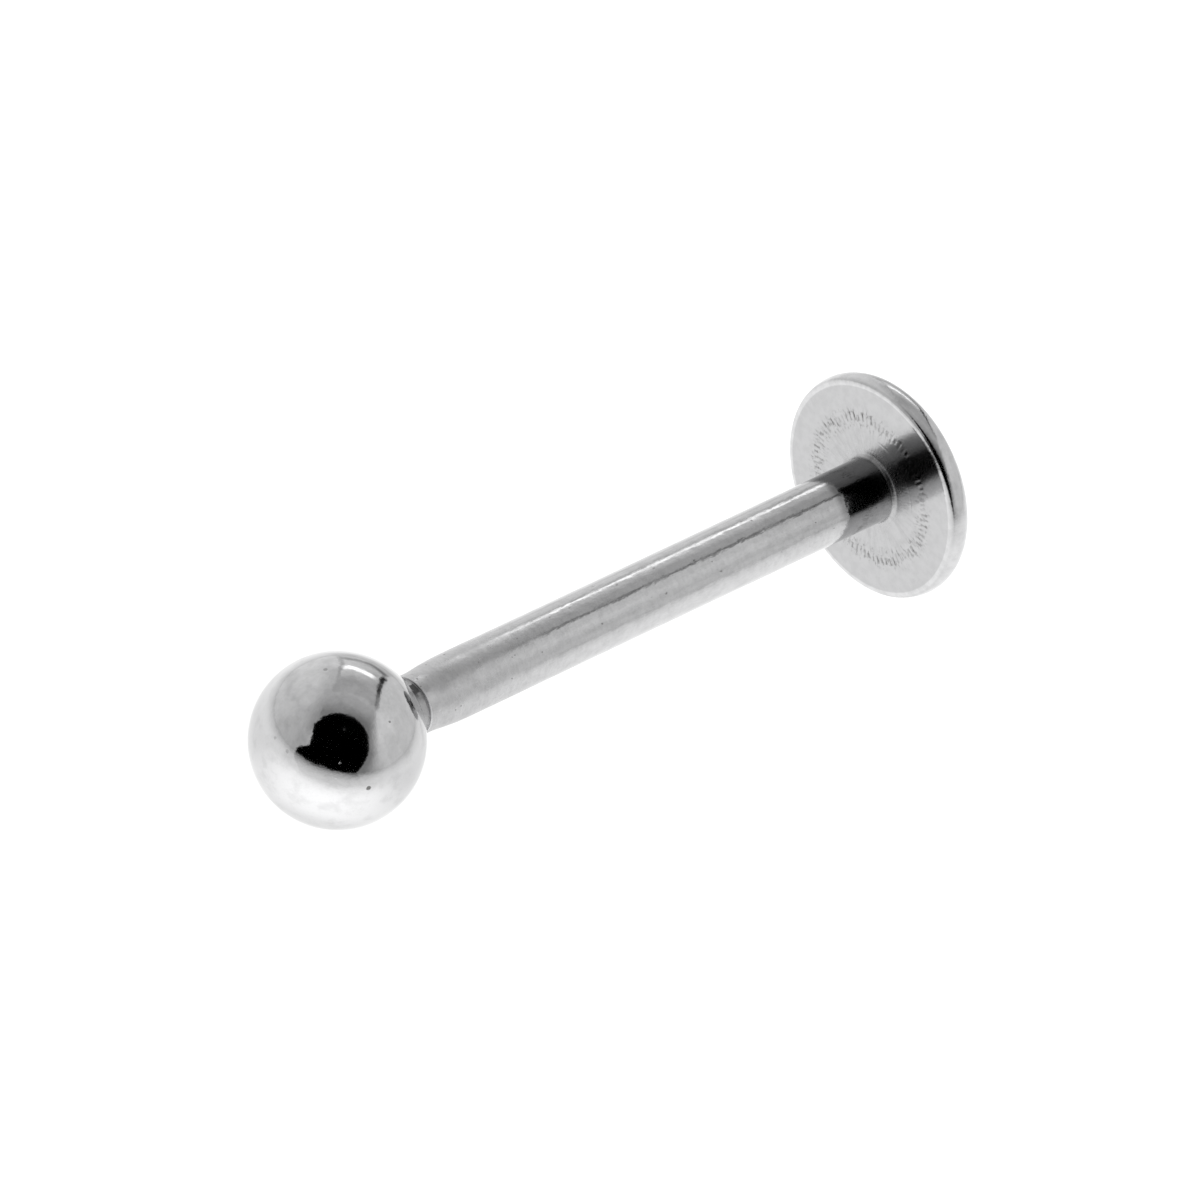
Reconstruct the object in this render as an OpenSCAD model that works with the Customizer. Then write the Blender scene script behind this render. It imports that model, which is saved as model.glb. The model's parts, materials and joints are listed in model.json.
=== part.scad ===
// Labret stud: a straight bar with a round disc base at one end and a screw-on ball at the
// other. It lies on a flat surface at z = 0, resting on the ball and on the disc's rim.
// Millimetres. The shared axis runs from the ball, at -X, up to the disc, at +X.

/* [Bar] */
// Diameter of the bar, a 16 gauge wire after polishing
bar_d = 1.16; // [1.1:0.01:1.4]
// Wearable length, from the disc's face to the bar's shoulder at the ball
bar_len = 11.1; // [6:0.1:16]
// Radius of the fillet where the bar grows out of the disc
root_fillet = 0.1; // [0.04:0.01:0.2]

/* [Bar end] */
// Length over which polishing has rounded the bar down towards the ball
polish_len = 0.8; // [0.4:0.05:1.5]
// How far the bar's end is polished down, at the radius
polish_depth = 0.05; // [0.02:0.005:0.06]
// Length of the polished-down collar at the bar's end
collar_len = 0.25; // [0.1:0.01:0.4]
// Length of the bevel that closes the collar
bevel_len = 0.03; // [0.01:0.005:0.05]
// Length of the neck between the collar and the shoulder
neck_len = 0.24; // [0.1:0.01:0.4]
// Width of the shoulder's ring that seats on the ball
shoulder_w = 0.03; // [0.02:0.005:0.05]

/* [Threaded tip] */
// Diameter of the tip over its thread
tip_d = 0.8; // [0.7:0.01:0.84]
// Length of the tip that goes into the ball
tip_len = 2.1; // [1.2:0.05:2.3]
// Chamfer at the tip's end
tip_chamfer = 0.12; // [0.05:0.01:0.2]

/* [Disc] */
// Diameter of the disc base
disc_d = 4; // [3.2:0.1:6]
// Thickness of the disc
disc_t = 0.5; // [0.5:0.05:1]
// Radius of the rounding round the rim's side and back
rim_r = 0.3; // [0.2:0.01:0.35]
// Diameter of the disc's flat face
face_d = 3.8; // [2.9:0.05:3.8]
// Slope of the narrow bevel between the face and the rim, in degrees
bevel_slope = 37; // [25:1:45]

/* [Ball] */
// Diameter of the ball
ball_d = 3; // [2.8:0.1:5]
// How far the flat round the ball's bore reaches outside the shoulder, at the radius
flat_rim = 0.05; // [0.02:0.01:0.1]
// Length of the lead-in cone at the mouth of the ball's bore
lead_in = 0.01; // [0.005:0.005:0.02]

/* [Clearances] */
// Radial gap between the tip and the ball's bore
bore_gap = 0.02; // [0.015:0.005:0.04]
// Gap between the bar's shoulder and the ball's flat
seat_gap = 0.02; // [0.01:0.01:0.05]
// Spare depth of the bore past the tip's end
bore_spare = 0.15; // [0.05:0.05:0.3]

/* [Hidden] */
// Number of sides drawn on a circle
round_sides = 96;
// Number of sides drawn on the long shallow arc of the polished end
long_arc_sides = 720;
// How far a cutting tool runs past the face that it cuts
cut_over = 0.5;

ball_r = ball_d / 2;
disc_r = disc_d / 2;
bar_r = bar_d / 2;
tip_r = tip_d / 2;
bore_r = tip_r + bore_gap;
shoulder_r = bore_r + lead_in + shoulder_w;
collar_r = bar_r - polish_depth;
polish_arc_r = (polish_len * polish_len + polish_depth * polish_depth) / (2 * polish_depth);

// Heights along the shared axis, counted from the ball's centre towards the disc
flat_r = shoulder_r + flat_rim;
flat_s = sqrt(ball_r * ball_r - flat_r * flat_r);
shoulder_s = flat_s + seat_gap;
tip_end_s = shoulder_s - tip_len;
bore_end_s = tip_end_s - bore_spare;
neck_s = shoulder_s + neck_len;
collar_s = neck_s + bevel_len;
polish_s = collar_s + collar_len;
full_s = polish_s + polish_len;
face_s = shoulder_s + bar_len;
back_s = face_s + disc_t;

// The rim's section is one arc round its side and back
rim_centre_r = disc_r - rim_r;
rim_s = back_s - rim_r;
face_r = face_d / 2;

// The stud leans until the ball and the rim touch the same surface
lean = atan2(rim_centre_r, rim_s)
     - asin((ball_r - rim_r) / norm([rim_s, rim_centre_r]));
// Distance from the ball's centre to the disc's furthest reach along X
reach_x = rim_s * cos(lean) + rim_centre_r * sin(abs(lean)) + rim_r;

// Puts a shape that is built round the Z axis, with the ball's centre at 0, in its place
module on_axis() {
    translate([(ball_r - reach_x) / 2, 0, ball_r])
        rotate([0, 90 - lean, 0])
            children();
}

// Section of the disc: the flat face, the narrow bevel, the rounded rim and the flat back
module disc_section() {
    out_r = disc_r + cut_over;
    difference() {
        union() {
            translate([0, face_s]) square([rim_centre_r, disc_t]);
            translate([0, face_s]) square([face_r, rim_s - face_s]);
            translate([rim_centre_r, rim_s]) circle(r = rim_r, $fn = round_sides);
        }
        polygon([
            [0, face_s - cut_over],
            [out_r, face_s - cut_over],
            [out_r, face_s + (out_r - face_r) * tan(bevel_slope)],
            [face_r, face_s],
            [0, face_s]
        ]);
    }
}

// Section of the fillet between the bar and the disc's face
module fillet_section() {
    difference() {
        translate([0, face_s - root_fillet]) square([bar_r + root_fillet, root_fillet]);
        translate([bar_r + root_fillet, face_s - root_fillet])
            circle(r = root_fillet, $fn = round_sides);
    }
}

// Section of the tip, shoulder, neck, collar and bar
module bar_section() {
    polygon([
        [0, tip_end_s],
        [tip_r - tip_chamfer, tip_end_s],
        [tip_r, tip_end_s + tip_chamfer],
        [tip_r, shoulder_s],
        [shoulder_r, shoulder_s],
        [shoulder_r, neck_s],
        [collar_r, collar_s],
        [collar_r, full_s],
        [0, full_s]
    ]);
    intersection() {
        translate([0, collar_s]) square([bar_r + cut_over, full_s - collar_s]);
        translate([bar_r - polish_arc_r, full_s])
            circle(r = polish_arc_r, $fn = long_arc_sides);
    }
    translate([0, full_s]) square([bar_r, face_s - full_s]);
}

// Bar, tip and disc base, one solid
module post() {
    color("gainsboro") on_axis() rotate_extrude($fn = round_sides) {
        bar_section();
        fillet_section();
        disc_section();
    }
}

// Ball with a flat and a blind bore for the tip
module ball() {
    color("silver") on_axis() difference() {
        sphere(r = ball_r, $fn = round_sides);
        translate([0, 0, flat_s]) cylinder(r = ball_r, h = ball_r, $fn = round_sides);
        translate([0, 0, bore_end_s])
            cylinder(r = bore_r, h = flat_s + cut_over - bore_end_s, $fn = round_sides);
        translate([0, 0, flat_s - lead_in])
            cylinder(r1 = bore_r, r2 = bore_r + lead_in, h = lead_in, $fn = round_sides);
    }
}

post();
ball();
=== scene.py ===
import json
import math
from types import SimpleNamespace

import bpy
from mathutils import Matrix, Vector


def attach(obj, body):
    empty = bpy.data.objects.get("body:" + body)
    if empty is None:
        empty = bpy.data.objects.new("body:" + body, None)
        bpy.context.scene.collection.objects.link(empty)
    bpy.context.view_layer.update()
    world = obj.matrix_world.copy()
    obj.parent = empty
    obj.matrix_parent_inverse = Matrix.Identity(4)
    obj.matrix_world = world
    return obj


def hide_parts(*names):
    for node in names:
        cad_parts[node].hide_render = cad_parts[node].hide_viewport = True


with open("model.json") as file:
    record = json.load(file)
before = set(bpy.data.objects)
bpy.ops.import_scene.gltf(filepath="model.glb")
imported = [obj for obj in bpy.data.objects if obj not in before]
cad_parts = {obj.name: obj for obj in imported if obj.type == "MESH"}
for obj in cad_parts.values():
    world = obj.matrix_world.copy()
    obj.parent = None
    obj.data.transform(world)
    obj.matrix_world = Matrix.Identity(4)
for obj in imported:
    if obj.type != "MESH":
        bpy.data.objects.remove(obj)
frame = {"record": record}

bl_info = {
    "name": "Labret stud finish",
    "version": (1, 0, 0),
    "blender": (4, 5, 0),
    "location": "3D View > Sidebar > Stud",
    "description": "Turns a labret stud's bar, disc and ball in polished steel",
    "category": "Add Mesh",
}

MM = 0.001
MICRON = 0.000001
DEGREE = math.degrees(1)
UP = Vector((0, 0, 1))

# Radii and heights that are closer than this, in metres, are the same
SAME = 1e-7

# The shared axis runs from the ball to the disc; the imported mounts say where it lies
MOUNTS = {mount["name"]: mount for mount in frame["record"]["mounts"]}
AXIS = -Vector(MOUNTS["bar"]["axis"]).normalized()
BACK_CENTRE = Vector(MOUNTS["back_face"]["pos_m"])
BAR_DIAMETER = 2 * MOUNTS["bar"]["dims"]["r_mm"]

# The camera, as the photograph shows the stud: the axis lies this far off the view, and
# climbs this much across the picture, while the floor's own up leans to the right
VIEW_OFF_AXIS = math.radians(52.0)
AXIS_CLIMB = math.radians(25.25)
CAMERA_ELEVATION = math.radians(38.0)
CAMERA_ROLL = math.radians(16.5)

# Where the face's roll runs over into the tight edge, and that edge into the rim's side, in degrees
ROLL_TURN = -60
EDGE_TURN = -22

# Points of the outline for one turn of the thread
THREAD_POINTS = 12

# The direction across the stud, in its own coordinates, that points up and to its far side
UPPER_SIDE = (0.78, 0.63)

# The tent's open side lies at this bearing, in degrees; the camera looks in through it. The
# middle of its arch has the same bearing, and this rise
OPEN_SIDE = -141
ARCH = (OPEN_SIDE, 33)

# Two small lights in the open side: bearing, rise, core and reach in degrees, strength
SMALL_LIGHTS = (
    (-137.5, 53.6, 0.4, 1.8, 0.14),
    (-133.6, 10.6, 0.3, 0.9, 1.6),
)

# The ball's pits that show: bearing and rise from its centre in degrees, width in mm, darkness
BALL_PITS = (
    (-114.5, 9.0, 0.09, 0.8),
    (131.8, 69.5, 0.08, 0.4),
    (-92.3, 50.3, 0.04, 0.6),
    (171.5, 18.3, 0.06, 0.25),
    (-175.1, 17.1, 0.07, 0.25),
)


def length(name, description, size_mm):
    """A length for a property group, given in millimetres and held in metres."""
    return bpy.props.FloatProperty(
        name=name, description=description, default=size_mm * MM, min=0,
        precision=6, subtype="DISTANCE", unit="LENGTH",
    )


def tint(name, description, colour):
    """A colour for a property group."""
    return bpy.props.FloatVectorProperty(
        name=name, description=description, default=colour, min=0, max=1,
        size=3, subtype="COLOR",
    )


class StudSizes(bpy.types.PropertyGroup):
    """Sizes of the bar, the disc, the ball and their tool marks."""

    bar_diameter: length("Bar diameter", "Thickness of the polished bar", BAR_DIAMETER)
    wearable: length("Wearable length", "From the disc's face to the shoulder", 11.1)
    root_fillet: length("Root fillet", "Fillet where bar and disc meet", 0.08)
    polish: length("Polished end", "Length rounded down towards the ball", 0.8)
    polish_depth: length("Polished depth", "How far the bar's end is polished down", 0.05)
    collar: length("Collar", "Polished-down end of the bar", 0.25)
    bevel: length("Bevel", "Rounded step that closes the collar", 0.03)
    neck: length("Neck", "Between the collar and the shoulder", 0.24)
    neck_flare: length("Neck flare", "How far the neck widens towards the collar", 0.03)
    collar_edge: length("Collar edge", "Radius round the collar's edge at the neck", 0.015)
    shoulder: length("Shoulder", "Width of the ring that seats on the ball", 0.03)
    tip_diameter: length("Tip diameter", "Over the crests of the thread", 0.8)
    tip: length("Tip length", "Length of the threaded tip", 2.1)
    tip_chamfer: length("Tip chamfer", "Chamfer at the tip's end", 0.12)
    pitch: length("Thread pitch", "Advance of the thread in one turn", 0.25)
    thread_depth: length("Thread depth", "From crest to root on the tip", 0.09)
    bore_thread: length("Bore thread depth", "Depth of the grooves in the bore", 0.05)
    disc_diameter: length("Disc diameter", "Width of the disc base", 4.0)
    disc_thickness: length("Disc thickness", "Thickness of the disc base", 0.5)
    rim_side: length("Rim side", "Radius of the gentle crown on the rim's side", 0.4)
    face_edge: length("Face edge", "Radius of the tight edge between the disc's face and its rim", 0.07)
    face_roll: length("Face roll", "Radius that eases the disc's face into that edge", 0.16)
    ball_diameter: length("Ball diameter", "Width of the ball", 3.0)
    flat_rim: length("Flat rim", "Flat on the ball outside the shoulder", 0.05)
    lead_in: length("Lead-in", "Cone at the mouth of the bore", 0.01)
    bore_gap: length("Bore gap", "Radial gap between tip and bore", 0.02)
    seat_gap: length("Seat gap", "Gap between shoulder and ball", 0.02)
    bore_spare: length("Spare bore", "Depth left past the tip's end", 0.15)
    edge_break: length("Edge break", "Radius left on polished corners", 0.012)
    mark_radius: length("Mark radius", "Middle of the ring of tool marks", 1.28)
    mark_length: length("Mark length", "Longest tool mark on the disc's face", 0.3)
    mark_depth: length("Mark depth", "Depth of those tool marks", 0.005)


class StudColours(bpy.types.PropertyGroup):
    """Colours of the steel and of the grime on it."""

    ball_steel: tint("Ball steel", "Mirror-polished steel of the ball", (0.6, 0.6, 0.605))
    bar_steel: tint("Bar steel", "Drawn and polished steel of the bar", (0.58, 0.58, 0.585))
    disc_steel: tint("Disc steel", "Turned steel of the disc's face", (0.51, 0.51, 0.515))
    rim_steel: tint("Rim steel", "Polished steel of the disc's rim", (0.6, 0.6, 0.605))
    grime: tint("Grime", "Dark residue in pits, marks and the thread's roots", (0.06, 0.058, 0.055))


class Plug:
    """A socket that reads as a number: each operator on it adds a Math node."""

    def __init__(self, graph, socket):
        self.graph = graph
        self.socket = socket

    def also(self, name):
        """Another output of the same node."""
        return Plug(self.graph, self.socket.node.outputs[name])

    def math(self, operation, *others):
        """This number put through a Math node, first of its values."""
        return self.graph.math(operation, self, *others)

    def __add__(self, other):
        return self.math("ADD", other)

    def __radd__(self, other):
        return self.math("ADD", other)

    def __sub__(self, other):
        return self.math("SUBTRACT", other)

    def __rsub__(self, other):
        return self.graph.math("SUBTRACT", other, self)

    def __mul__(self, other):
        return self.math("MULTIPLY", other)

    def __rmul__(self, other):
        return self.math("MULTIPLY", other)

    def __truediv__(self, other):
        return self.math("DIVIDE", other)

    def __rtruediv__(self, other):
        return self.graph.math("DIVIDE", other, self)

    def __mod__(self, other):
        return self.math("FLOORED_MODULO", other)

    def __abs__(self):
        return self.math("ABSOLUTE")


class Graph:
    """A node tree that is filled by calls."""

    def __init__(self, tree):
        self.tree = tree

    def node(self, kind, settings=None, values=None, out=0):
        """Adds a node: its settings first, then its sockets by name or number. Returns one output."""
        made = self.tree.nodes.new(kind)
        for name, value in (settings or {}).items():
            setattr(made, name, value)
        for key, value in (values or {}).items():
            if isinstance(value, Plug):
                self.tree.links.new(value.socket, made.inputs[key])
            else:
                made.inputs[key].default_value = value
        return None if out is None else Plug(self, made.outputs[out])

    def math(self, operation, *values):
        return self.node("ShaderNodeMath", {"operation": operation}, dict(enumerate(values)))

    def vector(self, operation, *values, out=0):
        return self.node("ShaderNodeVectorMath", {"operation": operation}, dict(enumerate(values)), out)

    def join(self, x, y, z):
        return self.node("ShaderNodeCombineXYZ", None, {0: x, 1: y, 2: z})

    def split(self, vector):
        x = self.node("ShaderNodeSeparateXYZ", None, {0: vector})
        return x, x.also("Y"), x.also("Z")

    def ramp(self, value, low, high, to_low=0.0, to_high=1.0):
        """A value that eases from to_low to to_high as another one goes from low to high."""
        values = dict(enumerate((value, low, high, to_low, to_high)))
        return self.node("ShaderNodeMapRange", {"interpolation_type": "SMOOTHSTEP"}, values)

    def fall(self, value, low, high):
        """1 up to low, easing to 0 at high."""
        return self.ramp(value, low, high, 1.0, 0.0)

    def band(self, value, centre, core, reach):
        """1 within a core round a centre, easing to 0 at its reach."""
        return self.fall(abs(value - centre), core, reach)

    def window(self, value, low, high, soft):
        """1 between low and high, with soft edges."""
        return self.ramp(value, low - soft, low + soft) * self.fall(value, high - soft, high + soft)

    def blend(self, share, first, second):
        """Mixes two colours, which are the Mix node's sockets 6 and 7 and its output 2."""
        return self.node("ShaderNodeMix", {"data_type": "RGBA"}, {0: share, 6: first, 7: second}, 2)

    def noise(self, vector, scale, detail=2.0, roughness=0.5):
        values = {"Vector": vector, "Scale": scale, "Detail": detail, "Roughness": roughness}
        return self.node("ShaderNodeTexNoise", {"normalize": True}, values)

    def bump(self, height, distance, under=None):
        """A normal that rises with a height, by a distance in metres, on top of another normal."""
        values = {"Height": height, "Distance": distance, "Strength": 1.0}
        if under is not None:
            values["Normal"] = under
        return self.node("ShaderNodeBump", None, values)


def heights(sizes):
    """The stud's radii and its heights along the axis, from the ball's centre, in metres."""
    at = SimpleNamespace()
    at.ball_r = sizes.ball_diameter / 2
    at.bar_r = sizes.bar_diameter / 2
    at.disc_r = sizes.disc_diameter / 2
    at.tip_r = sizes.tip_diameter / 2
    at.bore_r = at.tip_r + sizes.bore_gap
    at.shoulder_r = at.bore_r + sizes.lead_in + sizes.shoulder
    at.neck_r = at.shoulder_r + sizes.neck_flare
    at.collar_r = at.bar_r - sizes.polish_depth
    at.flat_r = at.shoulder_r + sizes.flat_rim
    at.flat = math.sqrt(at.ball_r ** 2 - at.flat_r ** 2)
    at.shoulder = at.flat + sizes.seat_gap
    at.tip_end = at.shoulder - sizes.tip
    at.bore_end = at.tip_end - sizes.bore_spare
    at.neck = at.shoulder + sizes.neck
    at.collar = at.neck + sizes.bevel
    at.polish = at.collar + sizes.collar
    at.full = at.polish + sizes.polish
    at.face = at.shoulder + sizes.wearable
    at.back = at.face + sizes.disc_thickness
    # The rim's section: the face rolls into a tight edge, then a crowned side and a round back
    roll_turn, edge_turn = math.radians(ROLL_TURN), math.radians(EDGE_TURN)
    eased = sizes.face_roll - sizes.face_edge
    inward = sizes.rim_side - sizes.face_edge
    at.roll = at.face + sizes.face_roll
    at.edge = at.roll + eased * math.sin(roll_turn)
    at.rim = at.edge - inward * math.sin(edge_turn)
    at.side_r = at.disc_r - sizes.rim_side
    at.edge_r = at.side_r + inward * math.cos(edge_turn)
    at.face_r = at.edge_r - eased * math.cos(roll_turn)
    at.rounding = at.back - at.rim
    at.rim_centre_r = at.disc_r - at.rounding
    return at


def ball_centre(sizes):
    """The ball's centre in the row frame: on the axis, a whole stud in front of the disc's back."""
    return BACK_CENTRE - AXIS * heights(sizes).back


def place_on_axis(sizes):
    """Carries a shape turned round the Z axis, with the ball's centre at zero, to its place."""
    return Matrix.Translation(ball_centre(sizes)) @ AXIS.to_track_quat("Z", "Y").to_matrix().to_4x4()


# Outlines that are turned round the axis

def arc(centre, radius, start, end, steps):
    """Points of an arc as (radius, height); angles in degrees, 0 points outwards and 90 to the disc."""
    turns = [math.radians(start + (end - start) * k / steps) for k in range(steps + 1)]
    return [(centre[0] + radius * math.cos(t), centre[1] + radius * math.sin(t)) for t in turns]


def run(start, end, pieces):
    """Points of a straight run, without its two ends."""
    return [
        (start[0] + (end[0] - start[0]) * k / pieces, start[1] + (end[1] - start[1]) * k / pieces)
        for k in range(1, pieces)
    ]


def broken_corner(before, corner, after, radius, steps):
    """A corner between two straight runs, rounded, with one more point close by on each run."""
    corner, into, out = Vector(corner), Vector(before), Vector(after)
    back, on = (into - corner).normalized(), (out - corner).normalized()
    half = back.angle(on) / 2
    reach = min(radius / math.tan(half), (into - corner).length * 0.45, (out - corner).length * 0.45)
    round_r = reach * math.tan(half)
    middle = corner + (back + on).normalized() * (round_r / math.sin(half))
    first, last = corner + back * reach - middle, corner + on * reach - middle
    sweep = first.angle_signed(last)
    begin = math.atan2(first.y, first.x)
    rounded = [
        (middle.x + round_r * math.cos(begin - sweep * k / steps),
         middle.y + round_r * math.sin(begin - sweep * k / steps))
        for k in range(steps + 1)
    ]
    return [tuple(corner + back * reach * 1.25), *rounded, tuple(corner + on * reach * 1.25)]


def broken(corners, radius, steps=6):
    """An outline of straight runs whose inner corners are all rounded a little."""
    points = [corners[0]]
    for before, corner, after in zip(corners, corners[1:], corners[2:]):
        points += broken_corner(before, corner, after, radius, steps)
    return points + [corners[-1]]


def post_outline(sizes):
    """From the tip's end, along the bar, over the disc's face and rim, to the middle of its back."""
    at = heights(sizes)
    edge = sizes.edge_break

    # The tip, with enough points for its thread
    tip_foot = (0, at.tip_end)
    chamfer_foot = (at.tip_r - sizes.tip_chamfer, at.tip_end)
    chamfer_top = (at.tip_r, at.tip_end + sizes.tip_chamfer)
    thread_top = (at.tip_r, at.shoulder - edge)
    turns = (at.shoulder - at.tip_end - sizes.tip_chamfer) / sizes.pitch
    tip = [tip_foot, *broken_corner(tip_foot, chamfer_foot, chamfer_top, edge, 4)]
    tip += run(chamfer_foot, chamfer_top, 6)[2:]
    tip += run(chamfer_top, thread_top, int(turns * THREAD_POINTS))

    # The shoulder, the neck and the collar's rounded edge
    neck_foot = (at.shoulder_r, at.shoulder)
    neck_top = (at.neck_r, at.neck)
    collar_foot = (at.collar_r - sizes.collar_edge, at.neck)
    collar_middle = (collar_foot[0], at.neck + sizes.collar_edge)
    end = broken([thread_top, (at.tip_r, at.shoulder), neck_foot, neck_top], edge)[1:-1]
    end += run(neck_foot, neck_top, 12)[1:-1]
    end += broken([neck_foot, neck_top, collar_foot], edge / 2)[1:]
    end += arc(collar_middle, sizes.collar_edge, -90, 0, 8)[1:]

    # The polished-down crown, into which the collar eases over the crown's first points
    crown_r = (sizes.polish ** 2 + sizes.polish_depth ** 2) / (2 * sizes.polish_depth)
    crown_turn = math.degrees(math.asin(sizes.polish / crown_r))
    crown = arc((at.bar_r - crown_r, at.full), crown_r, -crown_turn, 0, 20)[3:]
    crown_in, crown_foot = crown[0]
    collar_top = at.polish - sizes.collar / 2
    outwards, onwards = crown_in - at.collar_r, crown_foot - collar_top
    shares = [k / 6 for k in range(6)]
    ease = [(at.collar_r + outwards * share ** 2, collar_top + onwards * share) for share in shares]

    # The bar, the fillet at its root, and the disc's face with enough points for the tool marks
    bar = [(at.bar_r, at.face - 2 * sizes.root_fillet)]
    root_r = at.bar_r + sizes.root_fillet
    root = arc((root_r, at.face - sizes.root_fillet), sizes.root_fillet, 180, 90, 10)
    mark_in = sizes.mark_radius - sizes.mark_length / 2
    mark_out = sizes.mark_radius + sizes.mark_length / 2
    face = [(root_r + edge, at.face), (mark_in, at.face),
            *run((mark_in, at.face), (mark_out, at.face), 14),
            (mark_out, at.face), (at.face_r - edge, at.face)]

    # The rim, from the face's roll to the flat back
    lip = arc((at.face_r, at.roll), sizes.face_roll, -90, ROLL_TURN, 8)
    lip += arc((at.edge_r, at.edge), sizes.face_edge, ROLL_TURN, EDGE_TURN, 10)[1:]
    rim = arc((at.side_r, at.rim), sizes.rim_side, EDGE_TURN, 0, 14)[1:]
    rim += arc((at.rim_centre_r, at.rim), at.rounding, 0, 90, 28)[1:]
    back = [(at.rim_centre_r - edge, at.back), (at.rim_centre_r / 2, at.back), (0, at.back)]
    return tip + end + ease + crown + bar + root + face + lip + rim + back


def ball_outline(sizes):
    """From the ball's far pole over the sphere to its flat, and down the bore to its floor."""
    at = heights(sizes)
    edge = sizes.edge_break
    flat_angle = math.degrees(math.asin(at.flat / at.ball_r))
    trim = math.degrees(edge / at.ball_r)
    sphere = arc((0, 0), at.ball_r, -90, flat_angle - trim, 120)
    sphere[0] = (0, -at.ball_r)
    mouth_r = at.bore_r + sizes.lead_in
    flat = [(at.flat_r - edge, at.flat), (mouth_r + edge / 4, at.flat), (mouth_r, at.flat)]
    bore_top = (at.bore_r, at.flat - sizes.lead_in)
    bore_foot = (at.bore_r, at.bore_end)
    turns = (at.flat - at.bore_end) / sizes.pitch
    wall = [bore_top, *run(bore_top, bore_foot, int(turns * THREAD_POINTS)), bore_foot]
    floor = [(at.bore_r - edge, at.bore_end), (0, at.bore_end)]
    return sphere + flat + wall + floor


def outline_object(name, outline):
    """A mesh that holds only the outline's points and the lines between them."""
    mesh = bpy.data.meshes.new(name)
    points = [(r, 0, s) for r, s in outline]
    mesh.from_pydata(points, [(k, k + 1) for k in range(len(points) - 1)], [])
    made = bpy.data.objects.new(name, mesh)
    bpy.context.scene.collection.objects.link(made)
    return made


# The lathe, as Geometry Nodes

def lathe_tree(name, inputs, materials):
    """An empty tree with the lathe's inputs: outline, segments, own sizes and materials."""
    tree = bpy.data.node_groups.new(name, "GeometryNodeTree")
    tree.interface.new_socket("Geometry", in_out="INPUT", socket_type="NodeSocketGeometry")
    kinds = {int: "NodeSocketInt", float: "NodeSocketFloat"}
    for label, default in {"Segments": 320, **inputs}.items():
        socket = tree.interface.new_socket(label, in_out="INPUT", socket_type=kinds[type(default)])
        socket.default_value = default
    for label in materials:
        tree.interface.new_socket(label, in_out="INPUT", socket_type="NodeSocketMaterial")
    tree.interface.new_socket("Geometry", in_out="OUTPUT", socket_type="NodeSocketGeometry")
    return tree


def wind(graph, given, across):
    """A grid of the outline's points by steps round the axis, and each point's radius, step, height."""
    count = graph.node("GeometryNodeAttributeDomainSize", {"component": "MESH"}, {0: given})
    rows = across + 1
    values = {"Vertices X": count, "Vertices Y": rows, "Size X": 1.0, "Size Y": 1.0}
    grid = graph.node("GeometryNodeMeshGrid", None, values)
    index = graph.node("GeometryNodeInputIndex")
    column = (index / rows).math("FLOOR")
    place = graph.node("GeometryNodeInputPosition")
    sampled = graph.node(
        "GeometryNodeSampleIndex", {"data_type": "FLOAT_VECTOR", "domain": "POINT"},
        {"Geometry": given, "Value": place, "Index": column},
    )
    radius, _, height = graph.split(sampled)
    step = index % rows
    return grid, radius, step, height


def close_lathe(graph, grid, radius, angle, height):
    """Sets the grid's points round the axis and closes the seam and the poles."""
    spot = graph.join(radius * angle.math("COSINE"), radius * angle.math("SINE"), height)
    wound = graph.node("GeometryNodeSetPosition", None, {"Geometry": grid, "Position": spot})
    merge = {"Geometry": wound, "Distance": SAME}
    closed = graph.node("GeometryNodeMergeByDistance", None, merge)
    smooth = {"Geometry": closed, "Shade Smooth": True}
    return graph.node("GeometryNodeSetShadeSmooth", None, smooth)


def thread_wave(graph, height, angle, pitch):
    """0 on the crests and 1 in the roots of a right-hand thread, with rounded crests."""
    turn = (height / pitch - angle / math.tau) % 1.0
    return graph.ramp(abs(turn - 0.5), 0.06, 0.44)


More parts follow.
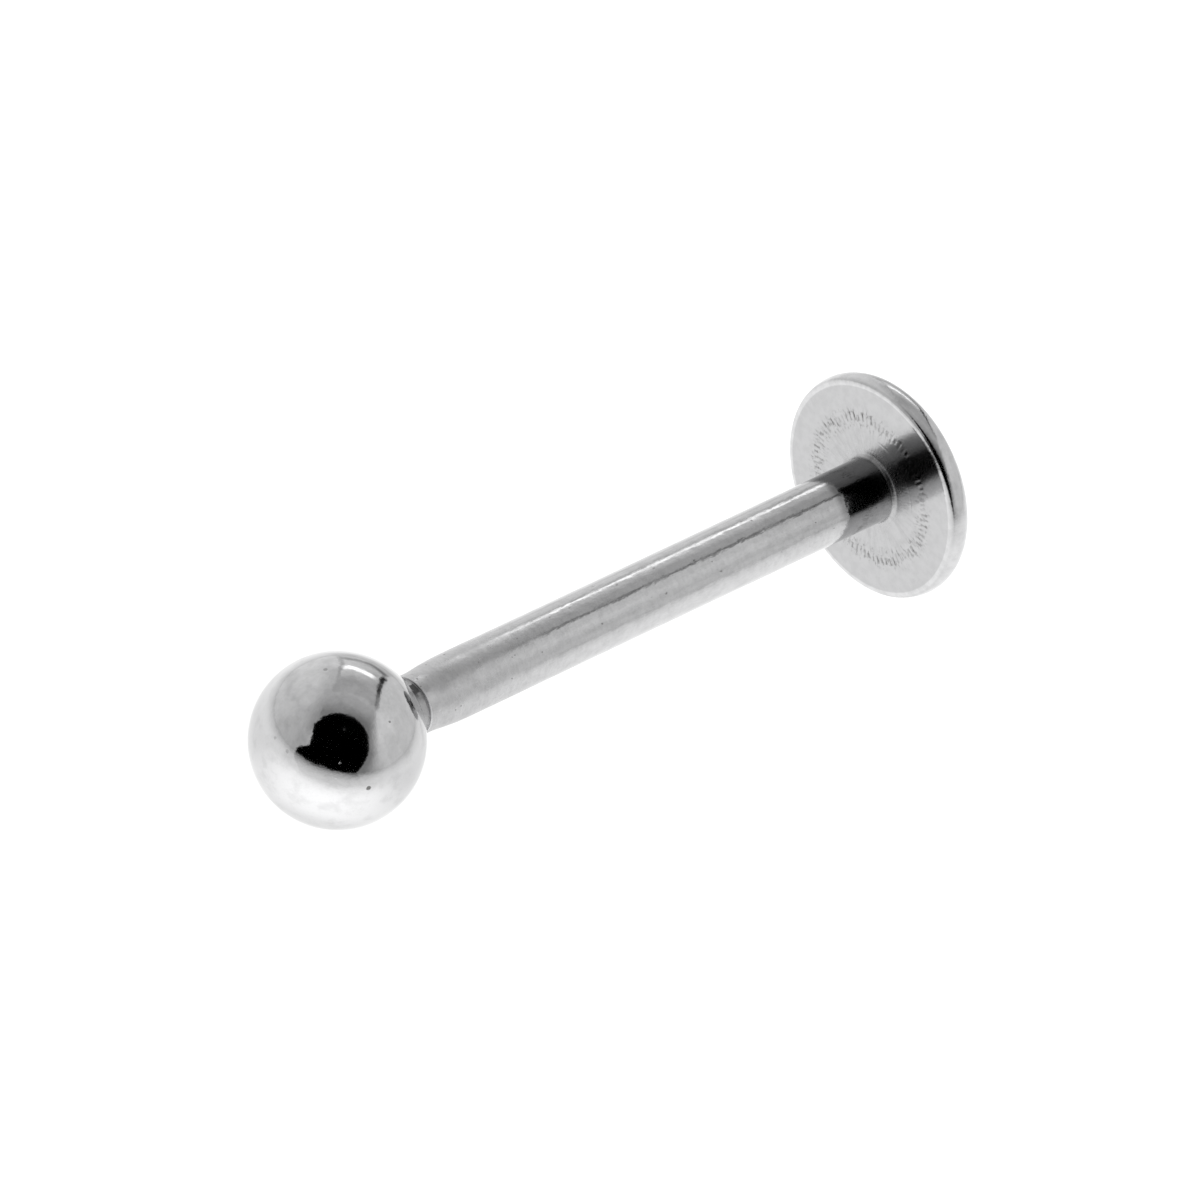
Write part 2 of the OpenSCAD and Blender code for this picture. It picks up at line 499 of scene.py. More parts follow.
def post_tree(sizes):
    """Turns the post, cuts the tip's thread and leaves a ring of tool marks on the disc's face."""
    at = heights(sizes)
    tree = lathe_tree("Turned post", {
        "Marks": 80, "Seed": 7, "Pitch": sizes.pitch, "Thread depth": sizes.thread_depth,
        "Mark depth": sizes.mark_depth, "Mark length": sizes.mark_length,
    }, ("Bar", "Disc", "Thread"))
    graph = Graph(tree)
    given = graph.node("NodeGroupInput")
    across = given.also("Segments")
    grid, radius, step, height = wind(graph, given, across)
    angle = step * math.tau / across

    # The thread runs out at both ends of the tip, and leaves the chamfer's end alone
    on_tip = graph.ramp(height, at.tip_end, at.tip_end + sizes.pitch)
    on_tip = on_tip * graph.fall(height, at.shoulder - sizes.pitch, at.shoulder - sizes.edge_break)
    on_tip = on_tip * graph.math("GREATER_THAN", radius, at.tip_r * 0.99)
    cut = thread_wave(graph, height, angle, given.also("Pitch")) * on_tip
    radius = radius - cut * given.also("Thread depth")

    # Each tool mark has its own length, place, lean and depth
    per_mark = across / given.also("Marks")
    mark = (step / per_mark).math("FLOOR")
    share, drift, lean = [
        graph.node("FunctionNodeRandomValue", {"data_type": "FLOAT"}, {
            "ID": mark, "Seed": given.also("Seed") + extra,
        }, 1) for extra in range(3)
    ]
    half = given.also("Mark length") * (0.15 + 0.22 * share)
    middle = sizes.mark_radius + (drift - 0.5) * given.also("Mark length") * 0.24
    along = (radius - middle) / half
    in_mark = graph.fall(abs(along), 0.7, 1.0)
    track = step % per_mark - per_mark / 2 + along * (0.4 + 0.3 * lean)
    on_line = graph.fall(abs(track), 0.4, 1.0)
    on_face = graph.math("COMPARE", height, at.face, SAME)
    cut = in_mark * on_line * on_face * (0.3 + 0.7 * drift)
    height = height + cut * given.also("Mark depth")
    settings = {"data_type": "FLOAT", "domain": "POINT"}
    values = {"Geometry": grid, "Name": "mark", "Value": cut}
    grid = graph.node("GeometryNodeStoreNamedAttribute", settings, values)

    turned = close_lathe(graph, grid, radius, angle, height)
    whole = graph.node("GeometryNodeRealizeInstances", None, {0: turned})
    _, _, face_height = graph.split(graph.node("GeometryNodeInputPosition"))
    everywhere = -1.0
    starts = {"Thread": everywhere, "Bar": at.shoulder - MICRON, "Disc": at.face - sizes.root_fillet}
    for finish, low in starts.items():
        above = graph.math("GREATER_THAN", face_height, low)
        values = {"Geometry": whole, "Selection": above, "Material": given.also(finish)}
        whole = graph.node("GeometryNodeSetMaterial", None, values)
    graph.node("NodeGroupOutput", None, {0: whole}, None)
    return tree


def ball_tree(sizes):
    """Turns the ball and taps its bore."""
    at = heights(sizes)
    tree = lathe_tree("Turned ball", {
        "Pitch": sizes.pitch, "Thread depth": sizes.bore_thread,
    }, ("Ball", "Bore"))
    graph = Graph(tree)
    given = graph.node("NodeGroupInput")
    across = given.also("Segments")
    grid, radius, step, height = wind(graph, given, across)
    angle = step * math.tau / across

    # The grooves face the tip's crests and run out at both ends of the bore
    in_bore = graph.math("COMPARE", radius, at.bore_r, SAME)
    in_bore = in_bore * graph.ramp(height, at.bore_end, at.bore_end + sizes.pitch)
    in_bore = in_bore * graph.fall(height, at.flat - sizes.pitch / 2, at.flat - sizes.lead_in)
    cut = 1.0 - thread_wave(graph, height, angle, given.also("Pitch"))
    radius = radius + cut * in_bore * given.also("Thread depth")
    turned = close_lathe(graph, grid, radius, angle, height)
    whole = graph.node("GeometryNodeRealizeInstances", None, {0: turned})
    values = {"Geometry": whole, "Material": given.also("Ball")}
    whole = graph.node("GeometryNodeSetMaterial", None, values)
    x, y, z = graph.split(graph.node("GeometryNodeInputPosition"))
    inside = graph.math("LESS_THAN", (x * x + y * y).math("SQRT"), at.bore_r + sizes.bore_thread)
    inside = inside * graph.math("GREATER_THAN", z, at.bore_end - MICRON)
    values = {"Geometry": whole, "Selection": inside, "Material": given.also("Bore")}
    whole = graph.node("GeometryNodeSetMaterial", None, values)
    graph.node("NodeGroupOutput", None, {0: whole}, None)
    return tree


def turn_piece(name, outline, tree, values, sizes):
    """Runs the lathe on an outline and leaves a plain mesh in its place in the row frame."""
    blank = outline_object(name + "_outline", outline)
    lathe = blank.modifiers.new("Lathe", "NODES")
    lathe.node_group = tree
    names = {item.name: item.identifier for item in tree.interface.items_tree if item.in_out == "INPUT"}
    for label, value in values.items():
        lathe[names[label]] = value
    ready = blank.evaluated_get(bpy.context.evaluated_depsgraph_get())
    mesh = bpy.data.meshes.new_from_object(ready)
    mesh.name = name
    mesh.transform(place_on_axis(sizes))
    bpy.data.objects.remove(blank)
    piece = bpy.data.objects.new(name, mesh)
    bpy.context.scene.collection.objects.link(piece)
    return piece


# Materials of the stud

def blank_material(name):
    """A material without nodes, and the graph that fills it."""
    material = bpy.data.materials.new(name)
    material.use_nodes = True
    material.node_tree.nodes.clear()
    return material, Graph(material.node_tree)


def steel(name, base, finish, sizes, colours):
    """A steel whose colour, roughness and normal come from its own finish function."""
    material, graph = blank_material(name)
    colour, roughness, normal = finish(graph, (*base, 1.0), sizes, colours)
    shader = graph.node("ShaderNodeBsdfPrincipled", None, {
        "Base Color": colour, "Metallic": 1.0, "Roughness": roughness, "Normal": normal,
    })
    graph.node("ShaderNodeOutputMaterial", None, {"Surface": shader}, None)
    return material


def along_axis(graph, sizes):
    """The stud's own coordinates in millimetres: Z runs from the ball's centre to the disc."""
    turn = place_on_axis(sizes)
    coordinates = graph.node("ShaderNodeTexCoord", None, None, "Object")
    return graph.node("ShaderNodeMapping", {"vector_type": "TEXTURE"}, {
        "Vector": coordinates, "Location": turn.to_translation(),
        "Rotation": turn.to_euler(), "Scale": (MM, MM, MM),
    })


def upper_side(x, y, radius):
    """From -1 low on the stud's near side to 1 high on its far side, on a given radius."""
    return (x * UPPER_SIDE[0] + y * UPPER_SIDE[1]) / radius


def dimmed(colour, share):
    """A darker tone of a colour, or a lighter one where the share is over 1."""
    return tuple(c * share for c in colour[:3]) + (1.0,)


def pits(graph, place, scale, size, chance):
    """Sparse round pits: 1 inside a pit, 0 outside. A cell of the pattern holds one by chance."""
    cell = graph.node("ShaderNodeTexVoronoi", None, {"Vector": place, "Scale": scale})
    lucky, _, _ = graph.split(cell.also("Color"))
    return graph.fall(cell, size * 0.5, size) * graph.math("LESS_THAN", lucky, chance)


def smudges(graph, place, scale, low, high, most):
    """Soft clouds of wear: 0 on clean steel and up to the given most."""
    return graph.ramp(graph.noise(place, scale, 4.0, 0.6), low, high, 0.0, most)


def drawn(graph, spot, across, along, detail, roughness):
    """A noise drawn out along the bar or round it: so many grains a millimetre across and along."""
    x, y, z = spot
    return graph.noise(graph.join(x * across, y * across, z * along), 1.0, detail, roughness)


def spoked(graph, spot, radius, around, outwards, detail):
    """A noise drawn out along the disc's spokes: fine round the bar and coarse outwards."""
    x, y, _ = spot
    place = graph.join(x / radius * around, y / radius * around, radius * outwards)
    return graph.noise(place, 1.0, detail, 0.7)


def flaw(graph, place, sizes, bearing, rise, width):
    """One pit of the ball, at a bearing and a rise from its centre: 1 inside and 0 outside."""
    on_ball = ball_centre(sizes) + toward(bearing, rise) * sizes.ball_diameter / 2
    spot = place_on_axis(sizes).inverted() @ on_ball
    distance = graph.vector("DISTANCE", place, spot / MM, out="Value")
    ragged = distance + 0.04 * (graph.noise(place, 40.0, 2.0) - 0.5)
    return graph.fall(ragged, width * 0.3, width * 0.6)


def ball_finish(graph, base, sizes, colours):
    """A mirror polish with soft smudges, fine ripple and a few pits."""
    place = along_axis(graph, sizes)
    haze = graph.noise(place, 2.1, 4.0, 0.6)
    grain = graph.noise(place, 26.0, 3.0, 0.6)
    pit = sum(flaw(graph, place, sizes, *spot) * darkness for *spot, darkness in BALL_PITS)
    speck = pits(graph, place, 4.5, 0.09, 0.1)

    shade = smudges(graph, place, 3.0, 0.45, 0.7, 0.4) + 0.2 * graph.ramp(grain, 0.5, 0.8)
    colour = graph.blend(shade, base, dimmed(base, 0.72))
    colour = graph.blend(pit + speck * 0.25, colour, (*colours.grime, 1.0))
    roughness = 0.045 + 0.06 * graph.ramp(haze, 0.4, 0.75) + 0.02 * grain
    normal = graph.bump(haze, 4.5 * MICRON)
    normal = graph.bump(grain, 0.16 * MICRON, normal)
    return colour, roughness, graph.bump(pit, -4 * MICRON, normal)


def bar_finish(graph, base, sizes, colours):
    """A drawn bar: lumps and lines along it, worn duller at the ball's end, with painted shade towards
    the disc, painted shade and dirt patches in the neck, and a painted highlight on the collar's edge.
    """
    at = heights(sizes)
    face, neck_top = at.face / MM, at.neck / MM
    place = along_axis(graph, sizes)
    spot = graph.split(place)
    x, y, z = spot
    side = upper_side(x, y, at.bar_r / MM)
    lumps = drawn(graph, spot, 7, 3.5, 3.0, 0.5)
    lines = drawn(graph, spot, 60, 4, 2.0, 0.6)
    streaks = drawn(graph, spot, 6, 19, 4.0, 0.7)
    patches = drawn(graph, spot, 2, 1.6, 2.0, 0.5)
    grain = graph.noise(place, 30.0, 3.0, 0.6)
    pit = pits(graph, place, 4.2, 0.11, 0.3) + pits(graph, place, 9.0, 0.16, 0.14)

    # Places along the bar: worn by the ball, calm by the disc, with painted shade towards the disc and
    # in the neck, where dirt patches lie too
    worn = graph.fall(z, 2.8, 5.2)
    calm = graph.ramp(z, face - 1.8, face - 1.2, 1.0, 0.6)
    root = graph.ramp(z, face - 0.14, face - 0.04)
    # Painted shade: the bar gets darker towards the disc, most on its upper side
    painted_disc_shade = graph.ramp(z, face - 3.2, face - 1.2, 0.0, 0.22)
    painted_disc_shade = painted_disc_shade + graph.ramp(z, face - 1.28, face - 1.12, 0.0, 0.78)
    painted_disc_shade = painted_disc_shade * graph.ramp(side, -0.95, 0.2, 0.2, 1.0)
    # Painted shade in the neck between the collar and the ball, with dark dirt patches on its upper
    # side
    neck = graph.fall(z, neck_top - 0.02, neck_top + 0.01)
    soil_and_shade = 0.15 + 0.8 * graph.ramp(lumps, 0.46, 0.56) * graph.ramp(side, 0.0, 0.35)
    # Painted highlight: a light ring on the collar's edge, strongest low on the near side
    painted_collar_glint = graph.band(z, neck_top + 0.012, 0.014, 0.03) * graph.ramp(side, 0.0, 0.4, 1.0, 0.2)

    shade = 0.35 * graph.ramp(streaks, 0.35, 0.7) + smudges(graph, place, 5.0, 0.4, 0.7, 0.35)
    shade = shade + 0.3 * graph.ramp(grain, 0.45, 0.7)
    colour = graph.blend(shade, base, dimmed(base, 0.74))
    # Painted shade towards the disc
    colour = graph.blend(painted_disc_shade, colour, dimmed(base, 0.38))
    # Painted shade in the neck, with dirt patches
    colour = graph.blend(neck * soil_and_shade, colour, dimmed(base, 0.15))
    # Painted highlight on the collar's edge
    colour = graph.blend(painted_collar_glint, colour, dimmed(base, 1.3))
    colour = graph.blend(pit * 0.7, colour, (*colours.grime, 1.0))
    roughness = 0.068 + 0.04 * grain + graph.ramp(z, 4, 11, 0.02, 0.0) + 0.17 * worn + 0.1 * neck
    roughness = roughness + graph.ramp(patches, 0.45, 0.65, 0.0, 0.08)
    roughness = roughness * calm + 0.1 * root + 0.3 * painted_collar_glint
    normal = graph.bump(lumps * calm, 6.5 * MICRON)
    normal = graph.bump(grain, 0.15 * MICRON, normal)
    return colour, roughness, graph.bump(lines, 0.4 * MICRON, normal)


def disc_finish(graph, base, sizes, colours):
    """A turned face, brushed outwards round the bar, with dark tool marks, a brighter rim, painted
    shade round the bar's root and a painted highlight by the face's edge.
    """
    at = heights(sizes)
    face, face_r = at.face / MM, at.face_r / MM
    place = along_axis(graph, sizes)
    spot = graph.split(place)
    x, y, z = spot
    radius = (x * x + y * y).math("SQRT")
    side = upper_side(x, y, radius)
    brushed = spoked(graph, spot, radius, 15, 1.6, 4.0)
    scuffs = spoked(graph, spot, radius, 26, 9, 3.0)
    cloud = graph.noise(place, 6.0, 4.0, 0.6)
    grain = graph.noise(place, 40.0, 3.0, 0.6)
    mark = graph.node("ShaderNodeAttribute", {"attribute_name": "mark"}, None, "Fac")

    # Places on the disc, from the bar outwards; the front keeps them off the back
    front = graph.fall(z, face + 0.1, face + 0.2)
    root = graph.fall(radius, 0.62, 0.72) * front
    near_bar = graph.fall(radius, 0.65, 1.15) * front
    # Painted shade round the bar's root, fading out at the lowest and highest sides
    painted_root_shade = root * graph.ramp(side, -0.8, -0.4) * graph.fall(side, 0.8, 0.98)
    groove = graph.band(radius, 0.97, 0.0, 0.03) * front
    ring = graph.band(radius, 1.26, 0.1, 0.26) * front
    # Painted highlight: a brighter ring just outside the face's edge
    edge = graph.band(radius, face_r + 0.035, 0.02, 0.05) * front
    rim = graph.ramp(radius, face_r - 0.02, face_r + 0.02)
    inner = graph.fall(radius, 0.75, 1.5) * (1.0 - rim)

    colour = graph.blend(rim, base, (*colours.rim_steel, 1.0))
    # Painted highlight along the face's edge
    colour = graph.blend(edge, colour, dimmed(colours.rim_steel, 1.08))
    # Painted shade round the bar's root
    colour = graph.blend(painted_root_shade, colour, dimmed(base, 0.38))
    shade = graph.ramp(cloud, 0.35, 0.7, 0.0, 0.35) + inner * graph.ramp(brushed, 0.4, 0.7, 0.0, 0.5)
    colour = graph.blend(shade, colour, dimmed(base, 0.78))
    scuffed = ring * graph.ramp(scuffs, 0.5, 0.68, 0.0, 0.45)
    colour = graph.blend(mark * 0.6 + scuffed, colour, (*colours.grime, 1.0))
    roughness = 0.115 + 0.05 * grain + 0.05 * inner + 0.08 * near_bar + 0.04 * root
    normal = graph.bump(cloud, 1.2 * MICRON)
    normal = graph.bump(cloud * rim, 3.5 * MICRON, normal)
    normal = graph.bump(groove, -1.2 * MICRON, normal)
    normal = graph.bump(grain, 0.25 * MICRON, normal)
    normal = graph.bump(brushed * inner, 2 * MICRON, normal)
    return colour, roughness, graph.bump(scuffs * near_bar, 5 * MICRON, normal)


def thread_finish(graph, base, sizes, colours):
    """Cut steel, duller than the rest and soiled in places."""
    place = along_axis(graph, sizes)
    grain = graph.noise(place, 30.0, 3.0, 0.6)
    soil_and_shade = graph.ramp(graph.noise(place, 9.0, 4.0, 0.7), 0.45, 0.75, 0.0, 0.5)
    colour = graph.blend(soil_and_shade, base, (*colours.grime, 1.0))
    return colour, 0.16 + 0.12 * grain, graph.bump(grain, 0.4 * MICRON)


# The studio

def toward(bearing, rise):
    """The direction at a bearing and a rise in degrees."""
    turn, tilt = math.radians(bearing), math.radians(rise)
    return Vector((math.cos(tilt) * math.cos(turn), math.cos(tilt) * math.sin(turn), math.sin(tilt)))


class TentView:
    """Where a ray from the stud meets the tent, as the tent itself is laid out."""

    def __init__(self, graph):
        self.graph = graph
        self.ray = graph.vector("NORMALIZE", graph.node("ShaderNodeTexCoord", None, None, "Object"))
        self.rise = self.share(UP).math("ARCSINE") * DEGREE
        self.creases = graph.noise(self.ray, 11.0, 3.0, 0.6)

        # Along and across the tent, as seen from above: its open side lies along its length
        self.ahead = self.share(toward(OPEN_SIDE, 0))
        self.aside = self.share(toward(OPEN_SIDE + 90, 0))

        # How far inside the panel's right and left seams, in degrees, with the cloth's wander
        wander = self.creases - 0.5
        self.right = (0.562 + 0.246 * self.ahead - self.aside) * DEGREE + 2 * wander
        self.left = (0.432 + 0.294 * self.ahead + self.aside) * DEGREE + 4 * wander
        soft = graph.ramp(self.ahead, -0.1, 0.4, 0.8, 8.0)
        self.in_panel = graph.ramp(self.right, 0.0 - soft, soft) * graph.ramp(self.left, -1.2, 1.2)

    def share(self, direction):
        """How much of the ray points in a direction."""
        return self.graph.vector("DOT_PRODUCT", self.ray, direction, out="Value")

    def bearing(self, centre):
        """Bearing in degrees, counted from a centre bearing, so that its wrap lies opposite."""
        sideways = self.share(toward(centre + 90, 0))
        return sideways.math("ARCTAN2", self.share(toward(centre, 0))) * DEGREE

    def away(self, *direction):
        """Angle in degrees from a direction."""
        return self.share(toward(*direction)).math("ARCCOSINE") * DEGREE


def tent_walls(view):
    """White cloth, duller towards the open side and, high up, beside the panel's left seam."""
    graph, ahead, rise = view.graph, view.ahead, view.rise
    left_wall = 0.69 - 0.25 * ahead
    right_wall = 0.75 + graph.ramp(rise, 15, 35, 0.0, 0.06) - graph.ramp(ahead, 0.35, 0.7, 0.0, 0.3)
    glow = left_wall + (right_wall - left_wall) * graph.ramp(view.aside, -0.3, 0.3)
    beside = graph.ramp(view.left, -18, -2) * graph.fall(view.left, 0, 3) * graph.ramp(rise, 25, 38)
    return glow * 1.06 - 0.2 * beside


def tent_panel(view):
    """The panel: pale below the lamp but for a dark band; above it brighter by the lamp, then dark."""
    graph, ahead, rise = view.graph, view.ahead, view.rise
    band = graph.window(rise + graph.ramp(view.bearing(20), 0, 12, -3.5, 0.0), 5.8, 13.2, 3.2)
    band = band * graph.window(view.bearing(31), -13, 15, 3)
    below = 0.66 + graph.ramp(view.bearing(20), 0, 18, 0.0, 0.22) - 0.4 * band
    above = 0.53 + graph.ramp(rise, 36, 58, 0.34, 0.0) * graph.ramp(view.bearing(10), 0, 26)
    above = above - graph.ramp(ahead, -0.05, 0.35, 0.0, 0.25)
    above = above + 0.07 * graph.window(view.away(OPEN_SIDE, 38), 60, 66, 2)
    over = graph.ramp(rise + 90 * graph.ramp(ahead, -0.2, 0.1), 36, 41)
    return below + (above - below) * over


def tent_seams(view):
    """The share of light that the panel's two dark seams leave, away from the open side."""
    graph, rise = view.graph, view.rise
    far_end = graph.fall(view.ahead, -0.25, -0.05)
    right = graph.fall(abs(view.right), 1.0, 3.0) * graph.ramp(rise, 15, 22)
    right = right * graph.ramp(rise, 44, 58, 0.95, 0.5)
    left = 0.3 * graph.fall(abs(view.left), 0.5, 2.0) * graph.window(rise, 4, 50, 8)
    return (1.0 - right * far_end) * (1.0 - left * far_end)


def tent_lamp(view):
    """The strip lamp low in the panel, which droops at one end."""
    graph = view.graph
    along, centred = view.bearing(30), view.bearing(32.5)
    droop = graph.ramp(along, 0, 18, 0.0, 3.4) - graph.ramp(along, 13, 22, 0.0, 3.0)
    strip = graph.window(view.rise + droop, 30.0, 36.8, 2.2)
    return 1.2 * strip * graph.ramp(centred, -15.5, -7.5) * graph.fall(centred, 14, 20)


def tent_opening(view):
    """1 in the open side: an arch over a straight-sided foot that reaches further to one side."""
    graph, rise, aside = view.graph, view.rise, view.aside
    tail = graph.ramp(rise, 3, 19, 0.17, 0.0)
    bulge = (rise - 24.0) * (rise - 24.0) * 0.00022
    between = graph.ramp(aside + tail, -0.6, -0.575) * graph.fall(aside + bulge, 0.63, 0.66)
    arch = graph.fall(view.away(*ARCH), 39, 41.5)
    foot = graph.fall(rise, 28, 34) * graph.ramp(view.ahead, 0.0, 0.1)
    return between * arch.math("MAXIMUM", foot)


def tent_glow(graph):
    """How bright the light tent is in each direction, from the stud."""
    view = TentView(graph)
    walls = tent_walls(view)
    glow = walls + (tent_panel(view) - walls) * view.in_panel
    cloth = graph.noise(view.ray, 3.2, 4.0, 0.6)
    glow = glow * (1.0 + 0.5 * (cloth - 0.5) + 0.3 * (view.creases - 0.5))
    glow = glow * tent_seams(view) + tent_lamp(view)
    dusk = graph.ramp(view.away(*ARCH), 41, 55, 0.5, 0.0) * graph.ramp(view.aside, -0.1, 0.3)
    glow = glow * (1.0 - dusk * (1.0 - 0.8 * view.in_panel))
    glow = glow * (1.0 - tent_opening(view))
    for bearing, rise, core, reach, strength in SMALL_LIGHTS:
        glow = glow + strength * graph.fall(view.away(bearing, rise), core, reach)
    return glow


def tent_material():
    """Cloth that only glows."""
    material, graph = blank_material("tent_cloth")
    glow = tent_glow(graph)
    shader = graph.node("ShaderNodeEmission", None, {"Color": graph.join(glow, glow, glow)})
    graph.node("ShaderNodeOutputMaterial", None, {"Surface": shader}, None)
    material.cycles.emission_sampling = "NONE"
    return material


def floor_material(foot):
    """White acrylic that glows as if lit from below: painted light brightest in front of the ball,
    painted shadow under it, a little brighter further off, and glossy.
    """
    material, graph = blank_material("acrylic_with_painted_pool")
    coordinates = graph.node("ShaderNodeTexCoord", None, None, "Object")
    turned = graph.node("ShaderNodeMapping", {"vector_type": "TEXTURE"}, {
        "Vector": coordinates, "Location": foot,
        "Rotation": (0, 0, math.radians(OPEN_SIDE)), "Scale": (MM, MM, MM),
    })
    ahead, aside, _ = graph.split(turned)
    from_foot = (ahead * ahead + aside * aside).math("SQRT")
    # Painted light: a bright patch ahead of the ball, cut back round its foot as a painted contact
    # shadow
    from_pool = ((ahead - 2.9) * (ahead - 2.9) + aside * aside * 0.3).math("SQRT")
    painted_light_pool = graph.ramp(from_pool, 0.0, 4.1, 0.68, 0.0) * graph.ramp(from_foot, 0.7, 1.8)
    lit = 1.08 + painted_light_pool + graph.ramp(from_foot, 3, 9, 0.0, 0.19)
    glow = graph.node("ShaderNodeEmission", None, {"Color": graph.join(lit, lit, lit)})
    gloss = graph.node("ShaderNodeBsdfGlossy", None, {"Roughness": 0.0})
    grazing = graph.node("ShaderNodeFresnel", None, {"IOR": 1.5})
    both = graph.node("ShaderNodeMixShader", None, {0: grazing, 1: glow, 2: gloss})
    graph.node("ShaderNodeOutputMaterial", None, {"Surface": both}, None)
    material.cycles.emission_sampling = "NONE"
    return material


def tent_dome(radius, rings=24, segments=48):
    """A closed dome round the stud, as a mesh."""
    mesh = bpy.data.meshes.new("light_tent")
    points, faces = [(0, 0, radius)], []
    for ring in range(1, rings + 1):
        tilt = math.pi / 2 * ring / rings
        for k in range(segments):
            turn = math.tau * k / segments
            points.append((radius * math.sin(tilt) * math.cos(turn),
                           radius * math.sin(tilt) * math.sin(turn), radius * math.cos(tilt)))
    for k in range(segments):
        after = (k + 1) % segments
        faces.append((0, 1 + after, 1 + k))
        for ring in range(rings - 1):
            low, high = 1 + (ring + 1) * segments, 1 + ring * segments
            faces.append((high + k, high + after, low + after, low + k))
    mesh.from_pydata(points, [], faces)
    return mesh


def stage_object(name, mesh, material):
    """An object of the studio, which is no part of the stud."""
    made = bpy.data.objects.new(name, mesh)
    made.data.materials.append(material)
    bpy.context.scene.collection.objects.link(made)
    return made


def camera_axes():
    """The camera's right, up and back, in the row frame, from the angles measured in the photo."""
    axis_seen = Vector((
        math.sin(VIEW_OFF_AXIS) * math.cos(AXIS_CLIMB),
        math.sin(VIEW_OFF_AXIS) * math.sin(AXIS_CLIMB),
        -math.cos(VIEW_OFF_AXIS),
    ))
    up_seen = Vector((
        math.sin(CAMERA_ROLL) * math.cos(CAMERA_ELEVATION),
        math.cos(CAMERA_ROLL) * math.cos(CAMERA_ELEVATION),
        math.sin(CAMERA_ELEVATION),
    ))
    # The axis keeps its measured place; the floor's up is the nearest that fits the real lean
    across_seen = up_seen.cross(axis_seen).normalized()
    rest_seen = axis_seen.cross(across_seen)
    across = UP.cross(AXIS).normalized()
    rest = AXIS.cross(across)
    seen = Matrix((axis_seen, across_seen, rest_seen))
    real = Matrix((AXIS, across, rest)).transposed()
    return real @ seen


def set_camera(scene, sizes):
    """A long lens that frames the stud as the 1200-pixel photograph does."""
    frame_px = 1200
    ball_px = 179.8
    ball_at_px = (337.4, 740.3)
    scale = sizes.ball_diameter / ball_px
    lens = bpy.data.cameras.new("long_lens")
    lens.sensor_width = 36.0
    lens.lens = 1500.0
    view = camera_axes()
    centre = ball_centre(sizes)
    centre = centre + view.col[0] * (frame_px / 2 - ball_at_px[0]) * scale
    centre = centre + view.col[1] * (ball_at_px[1] - frame_px / 2) * scale
    distance = frame_px * scale * lens.lens / lens.sensor_width
    lens.clip_start = distance / 100
    lens.clip_end = distance * 10
    lens.dof.use_dof = False
    camera = bpy.data.objects.new("long_lens", lens)
    camera.matrix_world = Matrix.Translation(centre + view.col[2] * distance) @ view.to_4x4()
    scene.collection.objects.link(camera)
    scene.camera = camera


class STUD_OT_stage(bpy.types.Operator):
    """Lays the white floor, closes the light tent round it and sets the camera"""

    bl_idname = "stud.stage"
    bl_label = "Stage"

    def execute(self, context):
        scene = context.scene
        sizes = scene.stud_sizes
        tent_radius = 0.6
        corners = [(-tent_radius, -tent_radius, 0), (tent_radius, -tent_radius, 0),
                   (tent_radius, tent_radius, 0), (-tent_radius, tent_radius, 0)]
        foot = ball_centre(sizes)
        foot.z = 0
        sheet = bpy.data.meshes.new("acrylic_floor")
        sheet.from_pydata(corners, [], [(0, 1, 2, 3)])
        stage_object("acrylic_floor", sheet, floor_material(foot))
        tent = stage_object("light_tent", tent_dome(tent_radius), tent_material())
        tent.visible_camera = False

        world = bpy.data.worlds.new("studio_white")
        world.use_nodes = True
        world.node_tree.nodes["Background"].inputs["Color"].default_value = (1.0, 1.0, 1.0, 1.0)
        world.node_tree.nodes["Background"].inputs["Strength"].default_value = 1.1
        scene.world = world
        scene.view_settings.view_transform = "Standard"

        set_camera(scene, sizes)
        return {"FINISHED"}


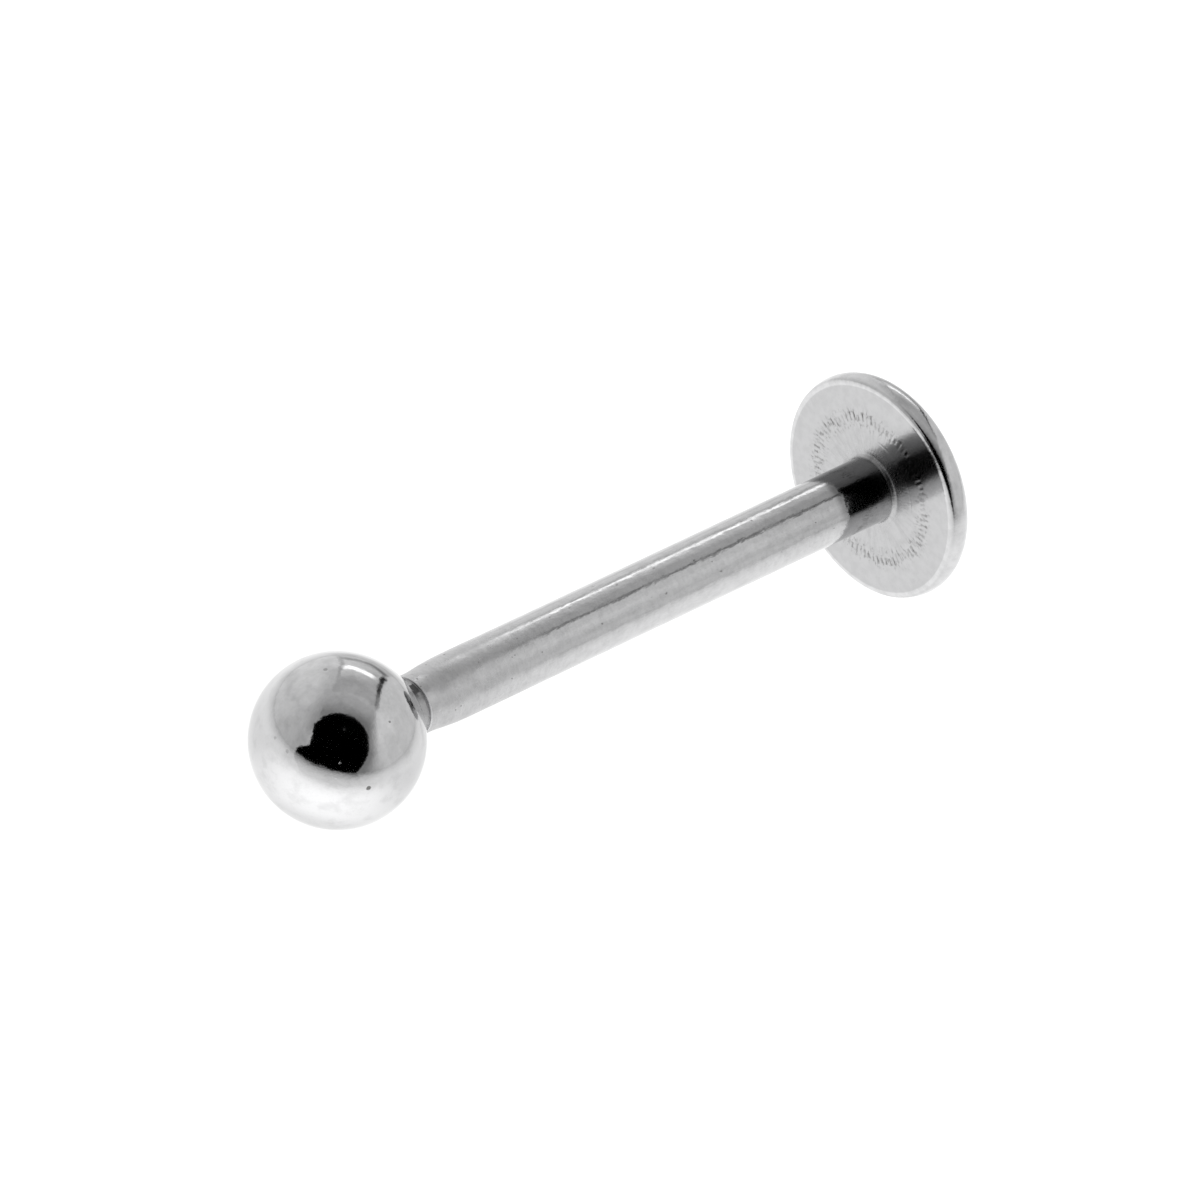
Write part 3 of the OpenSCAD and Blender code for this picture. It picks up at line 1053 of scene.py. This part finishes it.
class STUD_OT_post(bpy.types.Operator):
    """Turns the bar with its disc base and threaded tip"""

    bl_idname = "stud.post"
    bl_label = "Bar and disc"

    def execute(self, context):
        sizes, colours = context.scene.stud_sizes, context.scene.stud_colours
        piece = turn_piece("bar_and_disc", post_outline(sizes), post_tree(sizes), {
            "Bar": steel("drawn_steel", colours.bar_steel, bar_finish, sizes, colours),
            "Disc": steel("turned_steel", colours.disc_steel, disc_finish, sizes, colours),
            "Thread": steel("cut_thread", colours.bar_steel, thread_finish, sizes, colours),
        }, sizes)
        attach(piece, "post")
        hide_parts("post")
        return {"FINISHED"}


class STUD_OT_ball(bpy.types.Operator):
    """Turns the screw-on ball with its tapped bore"""

    bl_idname = "stud.ball"
    bl_label = "Ball"

    def execute(self, context):
        sizes, colours = context.scene.stud_sizes, context.scene.stud_colours
        piece = turn_piece("screw_ball", ball_outline(sizes), ball_tree(sizes), {
            "Ball": steel("mirror_steel", colours.ball_steel, ball_finish, sizes, colours),
            "Bore": steel("tapped_bore", colours.bar_steel, thread_finish, sizes, colours),
        }, sizes)
        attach(piece, "ball")
        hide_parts("ball")
        return {"FINISHED"}


class STUD_PT_panel(bpy.types.Panel):
    """Sizes, colours and pieces of the stud"""

    bl_idname = "STUD_PT_panel"
    bl_label = "Labret stud"
    bl_space_type = "VIEW_3D"
    bl_region_type = "UI"
    bl_category = "Stud"

    def draw(self, context):
        for operator in OPERATORS:
            self.layout.operator(operator.bl_idname)
        for group in (context.scene.stud_sizes, context.scene.stud_colours):
            for name in group.bl_rna.properties.keys():
                if name not in ("rna_type", "name"):
                    self.layout.prop(group, name)


OPERATORS = (STUD_OT_stage, STUD_OT_post, STUD_OT_ball)
CLASSES = (StudSizes, StudColours, *OPERATORS, STUD_PT_panel)


def register():
    for made in CLASSES:
        bpy.utils.register_class(made)
    bpy.types.Scene.stud_sizes = bpy.props.PointerProperty(type=StudSizes)
    bpy.types.Scene.stud_colours = bpy.props.PointerProperty(type=StudColours)


def unregister():
    del bpy.types.Scene.stud_colours
    del bpy.types.Scene.stud_sizes
    for made in reversed(CLASSES):
        bpy.utils.unregister_class(made)


def main():
    """Builds the stud and its studio."""
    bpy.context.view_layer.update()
    register()
    bpy.ops.stud.stage()
    bpy.ops.stud.post()
    bpy.ops.stud.ball()


if __name__ == "__main__":
    main()
